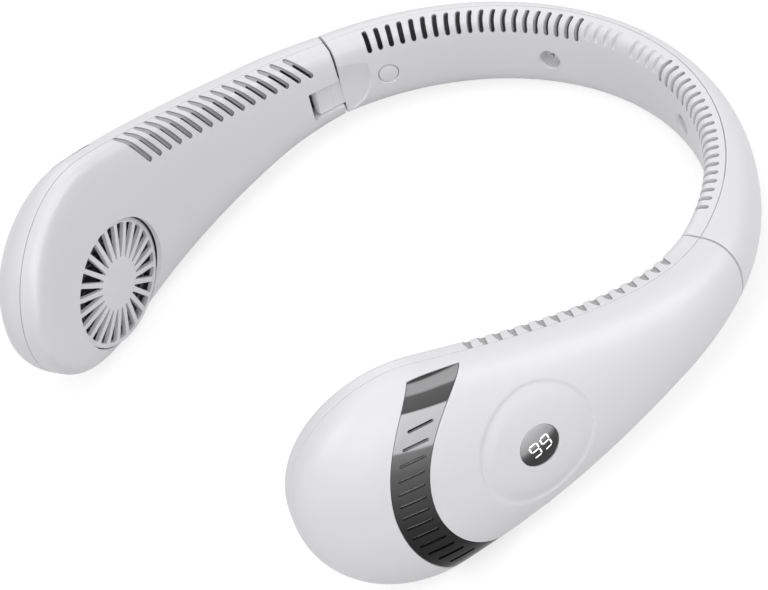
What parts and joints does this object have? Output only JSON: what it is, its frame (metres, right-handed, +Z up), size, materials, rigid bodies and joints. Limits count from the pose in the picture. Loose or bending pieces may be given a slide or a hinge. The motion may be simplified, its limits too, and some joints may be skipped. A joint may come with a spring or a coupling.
{
  "type": "electric neck fan",
  "caption": "U-shaped electric fan worn round the neck: a curved air band with two hinged bladeless arms, each with a centrifugal fan behind a round intake grille.",
  "frame": {"origin": "on the surface that the fan lies on, under the middle of its box", "axes": "+Z up from that surface, +Y towards the back of the neck, so the arms open towards -Y; +X towards the arm with the display, called right"},
  "size_m": [0.1822, 0.1865, 0.0616],
  "materials": {
    "white_shell": "satin",
    "smoked_strip": "polished",
    "black_lens": "polished",
    "lit_white": "matte",
    "black_plastic": "matte",
    "wheel_plastic": "matte",
    "inner_plastic": "matte",
    "steel": "satin",
    "stator_iron": "matte",
    "magnet": "matte",
    "bearing_bronze": "satin",
    "coil_wire": "satin",
    "battery_wrap": "satin",
    "board": "satin"
  },
  "bodies": {
    "band": {"band_inner_shell": "white_shell", "band_outer_shell": "white_shell", "band_screws": "steel", "screw_caps": "white_shell"},
    "right_arm": {"right_arm_inner_shell": "white_shell", "right_arm_outer_shell": "white_shell", "right_hinge_pin": "steel", "right_grille": "white_shell", "right_vent_strip": "smoked_strip", "right_bearing": "bearing_bronze", "right_stator": "stator_iron", "right_coils": "coil_wire", "right_motor_plate": "inner_plastic", "right_motor_screws": "steel", "right_scroll": "inner_plastic", "right_partition": "inner_plastic", "right_battery": "battery_wrap", "switch_body": "steel", "digit_module": "lit_white", "control_board": "board", "charging_socket": "steel"},
    "left_arm": {"left_arm_inner_shell": "white_shell", "left_arm_outer_shell": "white_shell", "left_hinge_pin": "steel", "left_grille": "white_shell", "left_vent_strip": "smoked_strip", "left_bearing": "bearing_bronze", "left_stator": "stator_iron", "left_coils": "coil_wire", "left_motor_plate": "inner_plastic", "left_motor_screws": "steel", "left_scroll": "inner_plastic", "left_partition": "inner_plastic", "left_battery": "battery_wrap"},
    "right_wheel": {"right_fan_wheel": "wheel_plastic", "right_magnet_ring": "magnet", "right_motor_shaft": "steel"},
    "left_wheel": {"left_fan_wheel": "wheel_plastic", "left_magnet_ring": "magnet", "left_motor_shaft": "steel"},
    "power_button": {"display_lens": "black_lens", "lit_digits": "lit_white", "switch_plunger": "black_plastic"}
  },
  "joints": [
    {"name": "right_hinge", "type": "hinge", "parent": "band", "child": "right_arm", "pos_m": [0.07273, 0.02874, 0.01421], "axis": [0, -0.0977, -0.9952], "range_deg": [0, 12]},
    {"name": "left_hinge", "type": "hinge", "parent": "band", "child": "left_arm", "pos_m": [-0.07273, 0.02874, 0.01421], "axis": [0, 0.0977, 0.9952], "range_deg": [0, 12]},
    {"name": "right_fan_spin", "type": "hinge", "parent": "right_arm", "child": "right_wheel", "pos_m": [0.06967, -0.05955, 0.02021], "axis": [0.9566, -0.29, 0.0285], "continuous": true},
    {"name": "left_fan_spin", "type": "hinge", "parent": "left_arm", "child": "left_wheel", "pos_m": [-0.06967, -0.05955, 0.02021], "axis": [-0.9566, -0.29, 0.0285], "continuous": true},
    {"name": "button_press", "type": "slide", "parent": "right_arm", "child": "power_button", "axis": [-0.9826, 0.139, -0.1235], "range_m": [0, 0.0005], "stiffness_N_per_m": 1000, "springref_m": -0.0005}
  ]
}
